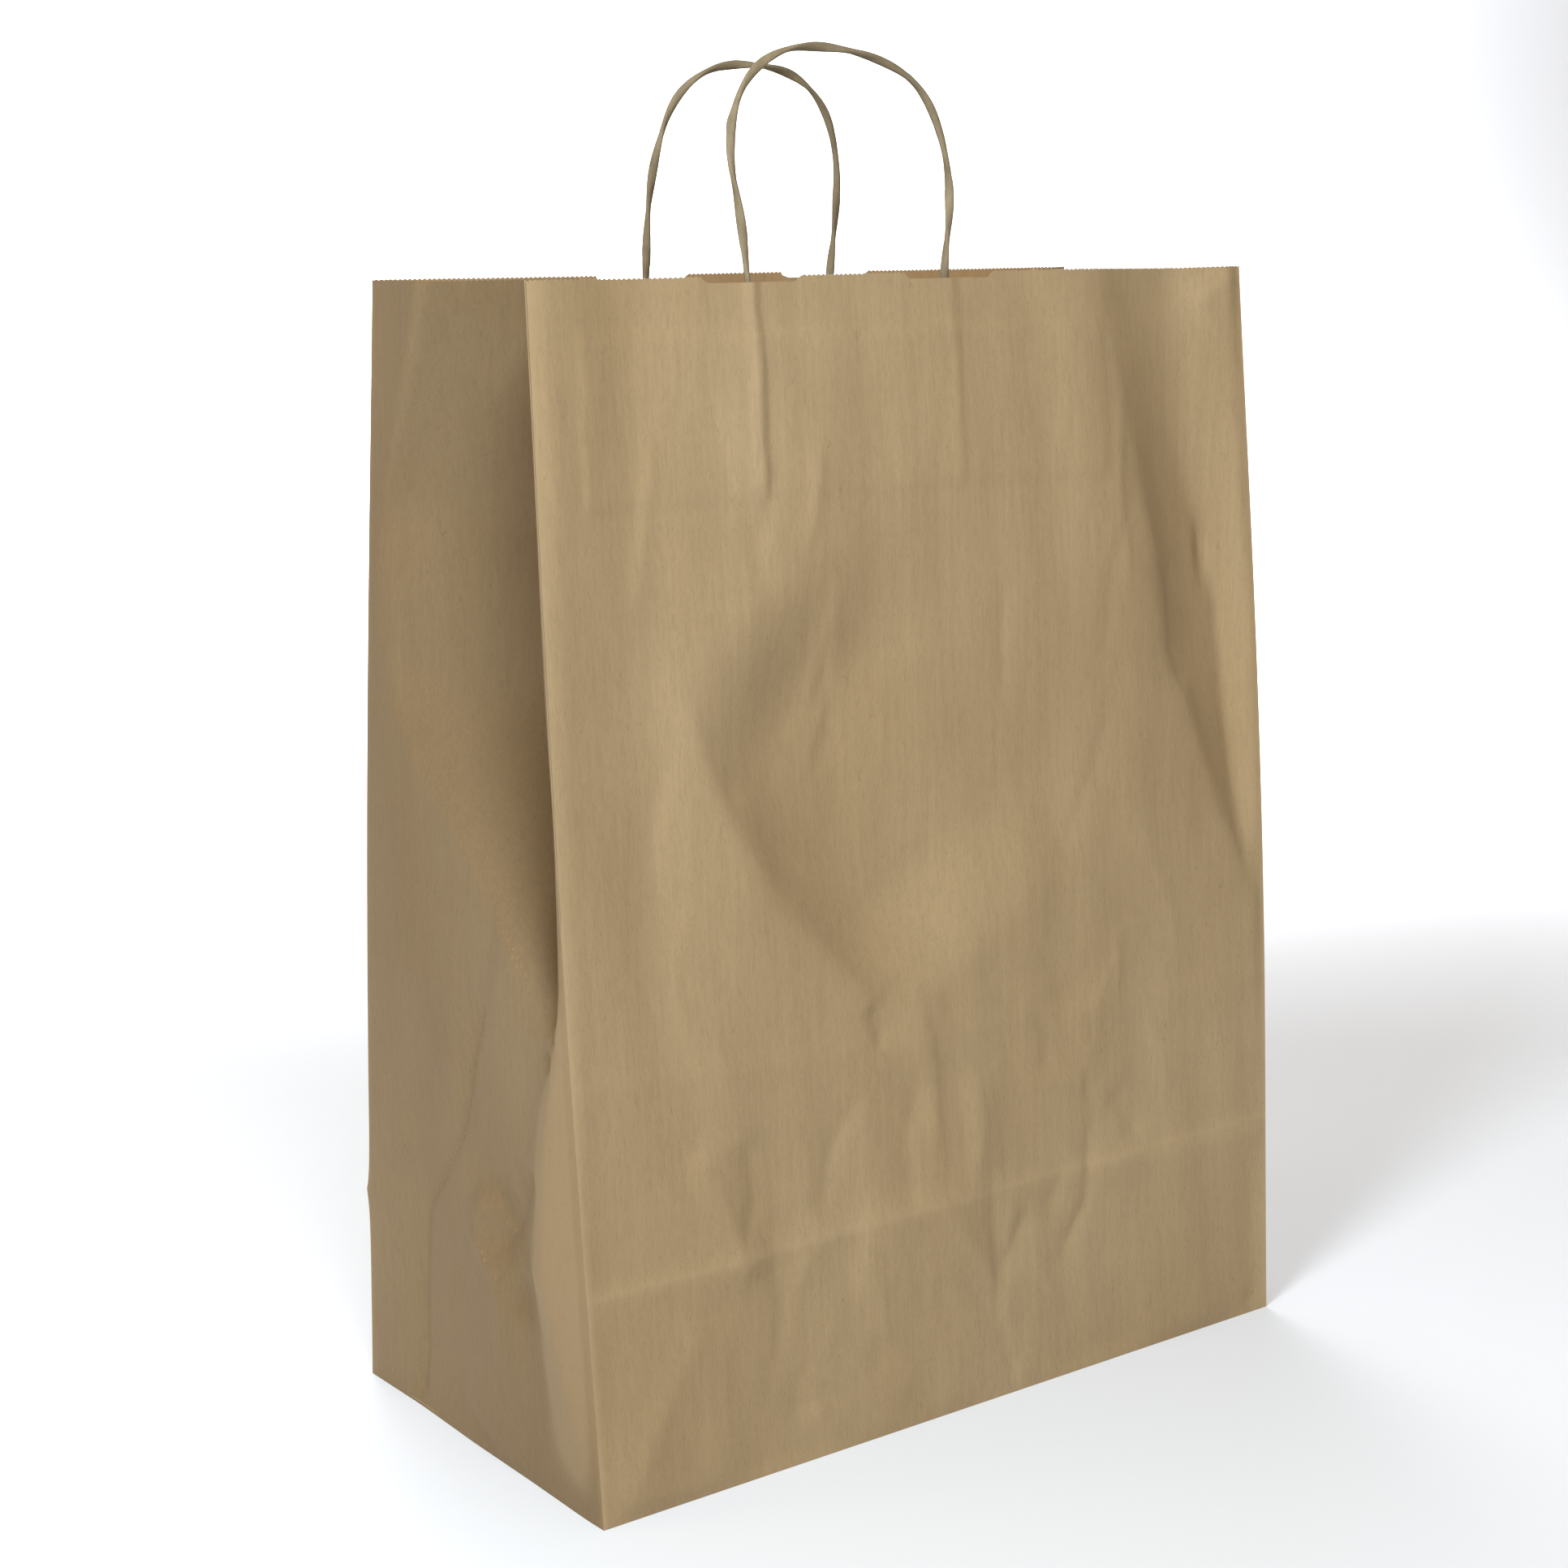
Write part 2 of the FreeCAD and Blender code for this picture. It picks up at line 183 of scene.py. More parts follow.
class Nodes:
    """A short way to build a material's node tree."""

    def __init__(self, name):
        self.material = bpy.data.materials.new(name)
        self.material.use_nodes = True
        self.tree = self.material.node_tree
        self.shader = self.tree.nodes["Principled BSDF"]
        self.place = self.tree.nodes.new("ShaderNodeTexCoord").outputs["Object"]

    def add(self, kind, **values):
        node = self.tree.nodes.new(kind)
        for name, value in values.items():
            setattr(node, name, value)
        return node

    def link(self, source, target):
        self.tree.links.new(source, target)

    def stretched(self, scale):
        """The place in the sheet, scaled along each axis."""
        mapping = self.add("ShaderNodeMapping")
        self.link(self.place, mapping.inputs["Vector"])
        mapping.inputs["Scale"].default_value = scale
        return mapping.outputs["Vector"]

    def noise(self, scale, stretch=(1, 1, 1), detail=3.0, roughness=0.5, distortion=0.0):
        node = self.add("ShaderNodeTexNoise")
        self.link(self.stretched(stretch), node.inputs["Vector"])
        node.inputs["Scale"].default_value = scale
        node.inputs["Detail"].default_value = detail
        node.inputs["Roughness"].default_value = roughness
        node.inputs["Distortion"].default_value = distortion
        return node.outputs["Fac"]

    def ramp(self, value, stops):
        node = self.add("ShaderNodeValToRGB")
        self.link(value, node.inputs["Fac"])
        elements = node.color_ramp.elements
        while len(elements) < len(stops):
            elements.new(0.5)
        for element, (position, colour) in zip(elements, stops):
            element.position = position
            element.color = (*colour, 1)
        return node.outputs["Color"]

    def mix(self, factor, first, second, blend="MIX"):
        node = self.add("ShaderNodeMix", data_type="RGBA", blend_type=blend)
        if isinstance(factor, float):
            node.inputs["Factor"].default_value = factor
        else:
            self.link(factor, node.inputs["Factor"])
        for name, colour in (("A", first), ("B", second)):
            socket = next(s for s in node.inputs if s.name == name and s.type == "RGBA")
            if isinstance(colour, tuple):
                socket.default_value = (*colour, 1)
            else:
                self.link(colour, socket)
        return next(s for s in node.outputs if s.type == "RGBA")

    def bump(self, height, strength, distance, under=None):
        node = self.add("ShaderNodeBump")
        self.link(height, node.inputs["Height"])
        node.inputs["Strength"].default_value = strength
        node.inputs["Distance"].default_value = distance
        if under is not None:
            self.link(under, node.inputs["Normal"])
        return node.outputs["Normal"]


def grey(value):
    """A grey of that value."""
    return (value, value, value)


def kraft(name, light, dark):
    """Unbleached kraft paper: cloudy tone, upright fibre streaks, stray fibres and a fine tooth."""
    m = Nodes(name)
    cloud = m.noise(9, (1, 1, 0.55), 4.0, 0.55, 0.3)
    base = m.ramp(cloud, [(0.3, dark), (0.72, light)])
    streak = m.noise(420, (1, 1, 0.035), 3.0, 0.6)
    streak_tone = m.ramp(streak, [(0.32, grey(0.42)), (0.68, grey(0.6))])
    base = m.mix(0.22, base, streak_tone, "OVERLAY")
    fleck = m.noise(900, (1, 1, 0.22), 2.0, 0.7, 1.2)
    fleck_tone = m.ramp(fleck, [(0.36, (0.3, 0.28, 0.25)), (0.56, (0.56, 0.55, 0.53))])
    base = m.mix(0.16, base, fleck_tone, "OVERLAY")
    stray = m.noise(260, (1.0, 1.0, 0.4), 1.0, 0.5, 3.5)
    stray_share = m.ramp(stray, [(0.7, grey(0)), (0.76, grey(0.25))])
    base = m.mix(stray_share, base, tuple(0.55 * c for c in dark))
    # Creases and edges are worn paler, and one strip of the left gusset gets painted highlight, by the
    # amount the mesh stores.
    wear_and_highlight_share = m.add("ShaderNodeAttribute", attribute_name="wear_and_highlight").outputs["Fac"]
    base = m.mix(wear_and_highlight_share, base, tuple(min(1.0, 1.5 * c) for c in light))
    m.link(base, m.shader.inputs["Base Color"])
    roughness = m.ramp(streak, [(0.3, grey(0.66)), (0.7, grey(0.8))])
    m.link(roughness, m.shader.inputs["Roughness"])
    m.shader.inputs["Specular IOR Level"].default_value = 0.28
    ribs = m.bump(streak, 0.22, 0.0004)
    tooth = m.bump(m.noise(1500, (1, 1, 0.6), 3.0, 0.65), 0.35, 0.00012, ribs)
    m.link(tooth, m.shader.inputs["Normal"])
    return m.material


def twisted_paper(name):
    """The cord's paper: greyer, with fine wrinkles along the twist."""
    m = Nodes(name)
    cloud = m.noise(60, (1, 1, 1), 4.0, 0.6, 0.5)
    base = m.ramp(cloud, [(0.3, (0.13, 0.1, 0.059)), (0.7, (0.225, 0.182, 0.115))])
    fleck = m.noise(1300, (1, 1, 0.3), 2.0, 0.7, 0.8)
    fleck_tone = m.ramp(fleck, [(0.3, (0.35, 0.35, 0.33)), (0.65, (0.6, 0.6, 0.58))])
    base = m.mix(0.25, base, fleck_tone, "OVERLAY")
    m.link(base, m.shader.inputs["Base Color"])
    m.shader.inputs["Roughness"].default_value = 0.72
    m.shader.inputs["Specular IOR Level"].default_value = 0.3
    wrinkles = m.bump(m.noise(700, (1, 1, 0.35), 3.0, 0.6, 0.6), 0.4, 0.0003)
    m.link(wrinkles, m.shader.inputs["Normal"])
    return m.material


# ---------------------------------------------------------------- shapes of creased paper


def ease(value):
    """0 below 0, 1 above 1 and smooth between."""
    value = np.clip(value, 0, 1)
    return value * value * (3 - 2 * value)


def near_line(x, z, points):
    """Each point's distance from a polyline, its side (left above 0), how far along, and the length."""
    points = np.array(points, float)
    spans = np.linalg.norm(np.diff(points, axis=0), axis=1)
    total = spans.sum()
    best = np.full(x.shape, np.inf)
    side = np.zeros(x.shape)
    along = np.zeros(x.shape)
    walked = 0.0
    for start, end, span in zip(points, points[1:], spans):
        step = (end - start) / span
        dx, dz = x - start[0], z - start[1]
        share = np.clip(dx * step[0] + dz * step[1], 0, span)
        off_x, off_z = dx - share * step[0], dz - share * step[1]
        distance = np.hypot(off_x, off_z)
        near = distance < best
        best = np.where(near, distance, best)
        side = np.where(near, step[0] * dz - step[1] * dx, side)
        along = np.where(near, walked + share, along)
        walked += span
    return best, side, along, total


def end_fade(along, total, fade):
    """1 along a line, easing to 0 at both of its ends."""
    return ease(along / fade) * ease((total - along) / fade) if fade else 1.0


def fold(x, z, points, height, left, right, soft=1.2, fade=14):
    """The lift of a crease along a polyline: sharp on the line, easing off to its left and right.

    Left is the side on the left hand of someone who walks the line in the sheet, x across and z up.
    """
    distance, side, along, total = near_line(x, z, points)
    width = np.where(side > 0, left, right)
    rounded = np.sqrt(distance**2 + soft**2) - soft
    return height * np.exp(-rounded / width) * end_fade(along, total, fade)


def ledge(x, z, points, drop, near, far, fade=20, soft=4.0):
    """A fold whose left side falls away at the line and comes back slowly. soft rounds the line."""
    distance, side, _, _ = near_line(x, z, points)
    signed = np.where(side > 0, distance, -distance)
    distance = (signed + np.sqrt(signed**2 + soft**2)) / 2
    start, end = np.array(points[0], float), np.array(points[-1], float)
    total = np.linalg.norm(end - start)
    step = (end - start) / total
    along = np.clip((x - start[0]) * step[0] + (z - start[1]) * step[1], 0, total)
    fall = -drop * (1 - np.exp(-distance / near)) * np.exp(-((distance / far) ** 2))
    return fall * end_fade(along, total, fade)


def swell(x, z, centre, size, height, turn=0.0):
    """A soft bump or hollow."""
    a = math.radians(turn)
    dx, dz = x - centre[0], z - centre[1]
    along, across = dx * math.cos(a) + dz * math.sin(a), dz * math.cos(a) - dx * math.sin(a)
    return height * np.exp(-((along / size[0]) ** 2) - (across / size[1]) ** 2)


def ripple(x, z, seed, count, length, height, upright=0.75):
    """Slow waves in the sheet, mostly upright ones."""
    chance = np.random.default_rng(seed)
    total = np.zeros(x.shape)
    for _ in range(count):
        turn = chance.normal(0, 1 - upright)
        wave = length * chance.uniform(0.6, 1.7)
        phase = chance.uniform(0, 2 * math.pi)
        drift = 9 * np.sin(z / chance.uniform(55, 110) + chance.uniform(0, 6.3))
        total += np.sin(2 * math.pi * ((x + drift) * math.cos(turn) + z * math.sin(turn)) / wave + phase)
    return height * total / math.sqrt(count)


def crumple(x, z, seed, count, area, length, height, tilt=90, spread=25):
    """Many short sharp creases, strewn over an area (x0, z0, x1, z1)."""
    chance = np.random.default_rng(seed)
    total = np.zeros(x.shape)
    for _ in range(count):
        centre = np.array([chance.uniform(area[0], area[2]), chance.uniform(area[1], area[3])])
        turn = math.radians(chance.normal(tilt, spread))
        reach = length * chance.uniform(0.5, 1.5) / 2
        step = reach * np.array([math.cos(turn), math.sin(turn)])
        bend = reach * 0.15 * chance.normal() * np.array([-math.sin(turn), math.cos(turn)])
        lift = height * chance.uniform(0.4, 1.2) * chance.choice([-1, 1])
        left, right = chance.uniform(2, 7, 2)
        points = [centre - step, centre + bend, centre + step]
        total += fold(x, z, points, lift, left, right, 0.8, reach * 0.7)
    return total


def smoothed(values, cells):
    """Values averaged over a few neighbours along the first axis, by a bell curve."""
    reach = int(3 * cells) + 1
    weights = np.exp(-0.5 * (np.arange(-reach, reach + 1) / cells) ** 2)
    weights /= weights.sum()
    padded = np.concatenate([values[:1]] * reach + [values] + [values[-1:]] * reach)
    return np.apply_along_axis(lambda line: np.convolve(line, weights, "valid"), 0, padded)


# ---------------------------------------------------------------- meshes


def make_object(name, points, faces, material, sharp_above=60):
    """A piece from points in millimetres. Edges that turn more than sharp_above degrees stay sharp."""
    mesh = bpy.data.meshes.new(name)
    mesh.from_pydata((np.asarray(points, float) * MM).tolist(), [], faces)
    mesh.materials.append(material)
    mesh.shade_smooth()
    piece = bpy.data.objects.new(name, mesh)
    bpy.context.scene.collection.objects.link(piece)
    mesh.set_sharp_from_angle(angle=math.radians(sharp_above))
    return piece


def sheet_normals(grid):
    """Unit normals of a grid of points, rows by columns."""
    across = np.gradient(grid, axis=1)
    up = np.gradient(grid, axis=0)
    normal = np.cross(across, up)
    return normal / np.maximum(np.linalg.norm(normal, axis=2, keepdims=True), 1e-9)


def tooth_valleys(grid, inner, keep, first):
    """The valleys of a serrated top edge: each notched column's first point, and all the points."""
    valleys, added = {}, []
    for col in range(grid.shape[1] - 1):
        width = np.linalg.norm(grid[-1, col + 1] - grid[-1, col])
        if width < TOOTH_MIN_CELL or not (keep is None or keep[col]):
            continue
        down = grid[-2, col] - grid[-1, col]
        down /= np.linalg.norm(down)
        valleys[col] = first + len(added)
        for side in (grid, inner):
            added.append((side[-1, col] + side[-1, col + 1]) / 2 + down * TOOTH_DEPTH)
    return valleys, added


def rim_faces(index, layer, valleys):
    """The faces round a sheet's edges, which join its outer points to its inner ones."""
    rim = []
    for col in range(index.shape[1] - 1):
        low, low_next = int(index[0, col]), int(index[0, col + 1])
        rim.append((low + layer, low_next + layer, low_next, low))
        high, high_next = int(index[-1, col]), int(index[-1, col + 1])
        if col in valleys:
            valley = valleys[col]
            rim.append((high, valley, valley + 1, high + layer))
            rim.append((valley, high_next, high_next + layer, valley + 1))
        else:
            rim.append((high, high_next, high_next + layer, high + layer))
    for row in range(index.shape[0] - 1):
        low, high = int(index[row, 0]), int(index[row + 1, 0])
        rim.append((low, high, high + layer, low + layer))
        low, high = int(index[row, -1]), int(index[row + 1, -1])
        rim.append((high, low, low + layer, high + layer))
    return rim


def paper_sheet(name, grid, material, teeth=False, keep=None, wear_and_highlight=None, inside=None):
    """A sheet with two faces and edges, from a grid of points on its outer face.

    Rows run upwards and columns so that across x up points out of the bag. With teeth, the top
    edge is serrated wherever keep says so. The paleness argument says how pale each point is, from
    worn creases and edges and from painted highlight, and inside is the material of the face inside the
    bag.
    """
    rows, cols = grid.shape[:2]
    inner = grid - sheet_normals(grid) * PAPER
    points = [grid.reshape(-1, 3), inner.reshape(-1, 3)]
    layer = rows * cols
    index = np.arange(layer).reshape(rows, cols)
    a, b = index[:-1, :-1].ravel(), index[:-1, 1:].ravel()
    c, d = index[1:, 1:].ravel(), index[1:, :-1].ravel()
    faces = np.stack([a, b, c, d], 1)
    valleys = {}
    if teeth:
        valleys, added = tooth_valleys(grid, inner, keep, 2 * layer)
        if added:
            points.append(np.array(added))
    outer_faces = [tuple(face) for face in faces.tolist()]
    inner_faces = [tuple(i + layer for i in reversed(face)) for face in outer_faces]
    last_row = (rows - 2) * (cols - 1)
    for col, valley in valleys.items():
        a, b, c, d = outer_faces[last_row + col]
        outer_faces[last_row + col] = (a, b, c, valley, d)
        inner_faces[last_row + col] = (d + layer, valley + 1, c + layer, b + layer, a + layer)
    rim = rim_faces(index, layer, valleys)
    points = np.concatenate(points)
    piece = make_object(name, points, outer_faces + inner_faces + rim, material)
    if inside is not None:
        piece.data.materials.append(inside)
        side = np.zeros(len(piece.data.polygons), dtype=np.int32)
        side[len(outer_faces) : len(outer_faces) + len(inner_faces)] = 1
        piece.data.polygons.foreach_set("material_index", side)
    if wear_and_highlight is not None:
        values = np.zeros(len(points))
        values[:layer] = np.clip(wear_and_highlight, 0, 1).ravel()
        stored = piece.data.attributes.new("wear_and_highlight", "FLOAT", "POINT")
        stored.data.foreach_set("value", values)
    return piece


def heights(top):
    """Heights of a sheet's rows."""
    return np.linspace(0, top, int(top / ROW_STEP) + 1)


# ---------------------------------------------------------------- upright creases


# How far each crease bows out halfway up: to the bag's side, and out of the wall's plane.
CREASE_PUSH = {
    ("left", "front"): (2.4, 0.6),
    ("right", "front"): (3.8, 1.0),
    ("left", "back"): (1.5, 1.5),
    ("right", "back"): (1.5, 1.5),
}


def crease(side, wall, z):
    """The upright crease between a gusset and a wall: its x and y at each height."""
    share = z / TOP[wall]
    sign = {"left": -1, "right": 1}[side]
    belly = np.sin(math.pi * np.clip(share, 0, 1)) ** 1.2
    push = CREASE_PUSH[side, wall]
    x = sign * (HALF_WIDTH + push[0] * belly)
    y = FOOT[wall] + SLOPE[wall] * z + OUTWARD[wall] * push[1] * belly
    if (side, wall) == ("left", "back"):
        # A small kink at the height of the folded-flat bag's crease.
        y = y + 2.6 * np.exp(-np.abs(z - 78) / 7)
    return x, y


def mouth_height(wall, x):
    """The height of a wall's cut mouth: a smooth notch over each leg of the cord."""
    half, slope, depth = 19.0, 2.5, 2.4
    cut = np.zeros(x.shape)
    for leg in LEGS[wall]:
        cut = np.maximum(cut, np.clip((half + slope - np.abs(x - leg)) / slope, 0, 1) * depth)
    return TOP[wall] - cut, cut


# ---------------------------------------------------------------- walls


def front_relief(x, z):
    """How far the front wall stands out from its flat face."""
    lift = ripple(x, z, 3, 5, 95, 0.8)
    lift += ripple(x, z, 8, 6, 34, 0.2, 0.9)
    # The wall swells forward, and turns back in a trough down its right side.
    lift += swell(x, z, (30, 300), (90, 170), 2.5)
    lift += swell(x, z, (-128, 290), (24, 150), -2.6)
    lift += swell(x, z, (86, 350), (85, 20), 3.5, 98)
    trough = [(82, 455), (105, 346), (116, 281), (140, 215), (176, 138)]
    # It comes back in a strip by the crease, and is shallow by the mouth, where the gusset needs
    # room when the wall closes.
    rise = 14 + 24 * ease((z - 290) / 90)
    shallow = 1 - 0.5 * ease((z - 340) / 70)
    lift += ledge(x, z, trough, 34, 75, 90, 50) * ease((HALF_WIDTH - x) / rise) * shallow
    lift += fold(x, z, trough[1:], 1.2, 8, 18, 2.5, 30)
    lift += swell(x, z, (146, 318), (3.5, 13), -2.0)
    lift += fold(x, z, [(124, 318), (118, 282), (126, 262)], -1.6, 7, 4, 0.8, 10)
    lift += fold(x, z, [(140, 413), (150, 419), (164, 428)], 1.8, 8, 12, 0.8, 6)
    # A long slanting fold down the middle, with a hollow on its right.
    slant = [(-114, 296), (-98, 247), (-78, 214), (-26, 150)]
    lift += ledge(x, z, slant, 21, 44, 80, 50)
    lift += fold(x, z, slant, 1.0, 6, 18, 2.5, 30)
    lift += swell(x, z, (26, 216), (60, 26), 2.0, -38)
    lift += fold(x, z, [(-40, 166), (-34, 156), (-36, 146)], -1.6, 7, 3, 0.8, 6)
    # The crease of the folded-flat bag, and the fainter one above it.
    lift += fold(x, z, [(-168, 82), (9, 84), (168, 76)], 1.0, 3.5, 12, 0.5, 0)
    lift += fold(x, z, [(-168, 156), (-38, 150), (168, 142)], 0.5, 3.5, 8, 0.6, 0)
    # Small creases near the bottom.
    lift += fold(x, z, [(-16, 142), (-23, 112), (-20, 78)], -2.4, 6, 14, 1.2, 22)
    lift += fold(x, z, [(8, 138), (11, 108), (7, 78)], 1.9, 10, 5, 1.0, 22)
    lift += fold(x, z, [(40, 156), (46, 136), (44, 118)], -1.0, 7, 4, 0.8, 10)
    lift += fold(x, z, [(60, 150), (66, 128), (60, 108)], 1.1, 5, 8, 0.8, 10)
    lift += fold(x, z, [(76, 112), (88, 98), (94, 84)], -1.4, 6, 8, 1.0, 10)
    lift += fold(x, z, [(-157, 1), (-140, 30), (-117, 67)], 1.6, 12, 16, 2.0, 12)
    lift += fold(x, z, [(-118, 130), (-104, 96), (-96, 70)], 1.6, 8, 10, 1.2, 14)
    lift += fold(x, z, [(-96, 128), (-92, 104), (-100, 84)], -1.2, 5, 7, 1.0, 10)
    lift += crumple(x, z, 21, 24, (-95, 8, 62, 96), 52, 0.95, 100, 24)
    lift += crumple(x, z, 22, 14, (-150, 90, 120, 190), 60, 0.75, 92, 20)
    lift += crumple(x, z, 23, 7, (-86, 6, -62, 34), 20, 0.8, 80, 45)
    lift += crumple(x, z, 24, 12, (-150, 220, 150, 400), 70, 0.8, 90, 12)
    lift += fold(x, z, [(156, 5), (163, 2)], -1.2, 2, 2, 0.4, 0)
    return lift


def back_relief(x, z):
    """How far the back wall stands out. Its x runs as the row's does."""
    lift = ripple(x, z, 13, 5, 100, 0.7)
    lift += ripple(x, z, 18, 6, 36, 0.14, 0.9)
    lift += swell(x, z, (-30, 260), (110, 150), 3.2)
    lift += fold(x, z, [(70, 330), (40, 262), (58, 190)], 1.8, 30, 22, 2, 30)
    lift += fold(x, z, [(-120, 230), (-90, 180), (-40, 140)], 1.6, 28, 18, 1.6, 24)
    lift += fold(x, z, [(-168, 80), (20, 84), (168, 82)], 0.75, 5, 11, 0.5, 0)
    lift += fold(x, z, [(-168, 150), (20, 153), (168, 152)], 0.4, 5, 7, 0.6, 0)
    lift += crumple(x, z, 31, 30, (-110, 10, 110, 90), 34, 1.4, 90, 26)
    lift += crumple(x, z, 32, 16, (-140, 100, 140, 380), 60, 0.9, 92, 18)
    return lift


def cord_emboss(wall, x, z):
    """The raised marks of the glued strips and of the two cord ends behind a wall."""
    top, bottom = patch_high[2], patch_low[2]
    centre = sum(LEGS[wall]) / 2
    half = (patch_high[0] - patch_low[0]) / 2
    inside = np.minimum(half - np.abs(x - centre), np.minimum(top - z, z - bottom))
    lift = 0.4 * ease((inside + 0.8) / 1.6)
    for leg in LEGS[wall]:
        plain = 1.0 if leg < centre else 0.45  # the left leg shows more
        wander = 0.4 * np.sin(z / 7.0 + leg) + 0.2 * np.sin(z / 2.6)
        reach = ease((z - bottom + 4) / 12) * plain
        lift = lift + 1.2 * np.exp(-(((x - leg - wander) / 1.8) ** 2)) * reach
        lift = lift - 0.36 * np.exp(-(((x - leg - 4.5) / 4.0) ** 2)) * reach
    return lift


def calm_relief(wall, x, z):
    """A wall's relief, without hollows where the ends of its cord are glued behind it."""
    relief = {"front": front_relief, "back": back_relief}[wall](x, z)
    for leg in LEGS[wall]:
        near = ease((15 - np.abs(x - leg)) / 9) * ease((z - patch_low[2] + 14) / 14)
        relief = np.where(relief < 0, relief * (1 - near), relief)
    return relief * ease((HALF_WIDTH - np.abs(x)) / 9)


def stand_out(wall, x, z):
    """How far a wall's sheet stands out from its flat plane, with its creases' bow."""
    left, right = (
        (crease(side, wall, z)[1] - FOOT[wall] - SLOPE[wall] * z) * OUTWARD[wall]
        for side in ("left", "right")
    )
    share = (x + HALF_WIDTH) / (2 * HALF_WIDTH)
    return calm_relief(wall, x, z) + left + (right - left) * share


def wall_sheet(wall, material):
    """A wall's visible sheet, between its two upright creases."""
    z = heights(TOP[wall])
    sides = np.linspace(0, 1, 166)
    left_x, left_y = crease("left", wall, z)
    right_x, right_y = crease("right", wall, z)
    x = left_x[:, None] + (right_x - left_x)[:, None] * sides
    y = left_y[:, None] + (right_y - left_y)[:, None] * sides
    top, cut = mouth_height(wall, x)
    tall = z[:, None] / TOP[wall] * top
    flat_x = -HALF_WIDTH + 2 * HALF_WIDTH * sides + np.zeros(x.shape)
    lift = calm_relief(wall, flat_x, tall) + cord_emboss(wall, flat_x, tall)
    from_side = np.minimum(sides, 1 - sides)[None, :] * 2 * HALF_WIDTH + np.zeros(x.shape)
    lift = lift * ease(from_side / 3) * ease(tall / 6)
    lean = LEAN[wall]
    y = y + OUTWARD[wall] * lift * math.cos(lean)
    tall = np.maximum(tall + lift * math.sin(lean), 0.05)
    grid = np.stack([x, y, tall], 2)
    wear_and_highlight = 0.3 * np.exp(-from_side / 1.3) + 0.12 * np.exp(-np.abs(tall - 83) / 1.5)
    smooth_top = cut[-1, :-1] < 0.1
    if wall == "back":
        grid, wear_and_highlight, smooth_top = grid[:, ::-1], wear_and_highlight[:, ::-1], smooth_top[::-1]
    piece = paper_sheet(f"{wall}_wall_sheet", grid, material, True, smooth_top, wear_and_highlight, inner_paper_painted_glow)
    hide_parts(f"{wall}_panel")
    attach(piece, f"{wall}_wall")


# ---------------------------------------------------------------- gussets

# Sections through each gusset: at a height, how far in from the bag's side and how far
# front to back its folds lie, from the one by the front wall to the one by the back wall.
LEFT_FOLDS = [
    (0, [(0, -75), (0, -34), (0, 4), (0.5, 46)]),
    (40, [(-5.0, -73), (0, -48), (-1.5, -2), (3.0, 45)]),
    (87, [(-10.0, -64), (-1, -38), (-2.0, 0), (4.5, 40)]),
    (130, [(-8.0, -64.5), (-1, -48), (-1.0, -6), (1.5, 34)]),
    (170, [(-4.0, -69), (0, -61), (0, -50), (-1.0, 30)]),
    (183, [(-3.0, -69.5), (8, -63), (0, -50), (-2, 30)]),
    (200, [(-2.0, -69), (24, -49), (-0.5, -40), (-2, 30)]),
    (220, [(0.3, -66), (34, -44), (0, -18), (-1, 34)]),
    (250, [(0.3, -66), (44, -27), (-0.5, 14), (-1, 56)]),
    (278, [(0.3, -63.5), (52, -13), (-1, 43), (-0.5, 47)]),
    (328, [(0.3, -60), (58, -7), (4, 35), (-0.5, 49)]),
    (345, [(0.3, -59), (59, -8), (8.5, 38), (-0.5, 45)]),
    (367, [(0.3, -57.5), (58, -8), (3.5, 33.5), (-2, 36)]),
    (429, [(0.3, -53.3), (53, -6), (3, 8.5), (-2, 10)]),
]
RIGHT_FOLDS = [
    (0, [(0, -60), (0, 0), (0, 60)]),
    (60, [(-0.8, -50), (0.5, 0), (-0.8, 50)]),
    (112, [(-0.8, -40), (1.5, -2), (-0.8, 38)]),
    (150, [(0, -46), (28, -2), (0, 42)]),
    (230, [(0.3, -64), (49, -3), (0.3, 60)]),
    (345, [(0.3, -58.5), (60, -4), (0.3, 52)]),
    (429, [(0.3, -53), (66, -5), (0.5, 45)]),
]


